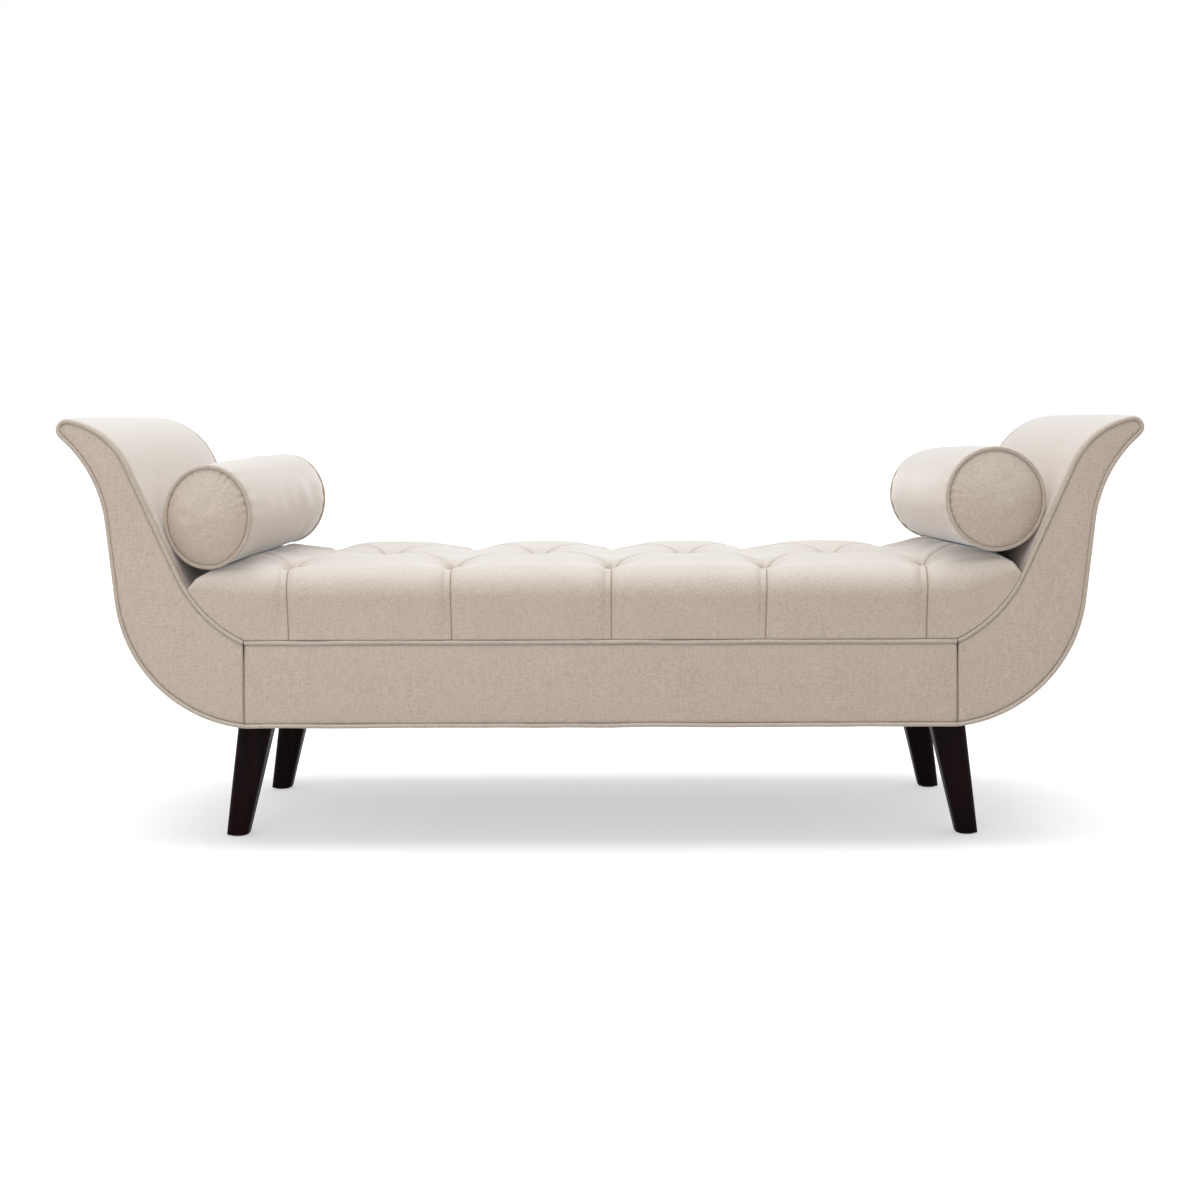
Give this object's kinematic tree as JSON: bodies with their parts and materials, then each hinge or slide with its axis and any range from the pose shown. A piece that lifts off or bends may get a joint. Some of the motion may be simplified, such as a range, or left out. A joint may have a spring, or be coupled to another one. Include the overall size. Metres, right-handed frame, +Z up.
{
  "type": "settee bench",
  "caption": "Upholstered bench with flared scroll arms, a diamond-tufted seat, loose round bolsters against the arms and splayed tapered legs.",
  "frame": {"origin": "on the floor, under the middle of the bench", "axes": "+X along the bench, towards the end on the viewer's right; -Y to the front; +Z up"},
  "size_m": [1.6, 0.535, 0.635],
  "materials": {
    "linen": "plain linen weave, oatmeal",
    "linen_welt": "covered cord in the same linen",
    "frame_timber": "planed softwood",
    "plywood": "unfinished plywood",
    "leg_wood": "dark espresso stain, satin",
    "steel": "zinc plated",
    "twine": "waxed twine",
    "foam": "open-cell foam",
    "filling": "fibre filling",
    "lining": "black non-woven",
    "nylon": "moulded nylon"
  },
  "bodies": {
    "bench": {"corner_blocks": "leg_wood", "dust_cover": "lining", "frame_screws": "steel", "front_apron": "linen", "front_hem_welt": "linen_welt", "front_rim_welt": "linen_welt", "front_seat_rail": "frame_timber", "left_arm_front_facing": "linen", "left_arm_front_panel": "frame_timber", "left_arm_front_welt": "linen_welt", "left_arm_inside_pad": "linen", "left_arm_liner": "plywood", "left_arm_middle_rail": "frame_timber", "left_arm_outside_cover": "linen", "left_arm_rear_facing": "linen", "left_arm_rear_panel": "frame_timber", "left_arm_rear_welt": "linen_welt", "left_arm_sill_rail": "frame_timber", "left_arm_top_rail": "frame_timber", "left_cross_rail": "frame_timber", "left_end_rail": "frame_timber", "left_front_leg": "leg_wood", "left_rear_leg": "leg_wood", "leg_bolts": "steel", "leg_glides": "nylon", "leg_tee_nuts": "steel", "rear_apron": "linen", "rear_hem_welt": "linen_welt", "rear_rim_welt": "linen_welt", "rear_seat_rail": "frame_timber", "right_arm_front_facing": "linen", "right_arm_front_panel": "frame_timber", "right_arm_front_welt": "linen_welt", "right_arm_inside_pad": "linen", "right_arm_liner": "plywood", "right_arm_middle_rail": "frame_timber", "right_arm_outside_cover": "linen", "right_arm_rear_facing": "linen", "right_arm_rear_panel": "frame_timber", "right_arm_rear_welt": "linen_welt", "right_arm_sill_rail": "frame_timber", "right_arm_top_rail": "frame_timber", "right_cross_rail": "frame_timber", "right_end_rail": "frame_timber", "right_front_leg": "leg_wood", "right_rear_leg": "leg_wood", "seat_deck": "plywood", "seat_foam": "foam", "seat_pad": "linen", "tuft_ties": "twine", "tuft_washers": "steel"},
    "left_bolster": {"left_bolster_caps": "linen", "left_bolster_fill": "filling", "left_bolster_sleeve": "linen", "left_bolster_welts": "linen_welt"},
    "right_bolster": {"right_bolster_caps": "linen", "right_bolster_fill": "filling", "right_bolster_sleeve": "linen", "right_bolster_welts": "linen_welt"}
  },
  "joints": [
    {"name": "left_bolster_lift", "type": "slide", "parent": "bench", "child": "left_bolster", "axis": [0, 0, 1], "range_m": [0, 0.25]},
    {"name": "right_bolster_lift", "type": "slide", "parent": "bench", "child": "right_bolster", "axis": [0, 0, 1], "range_m": [0, 0.25]}
  ]
}
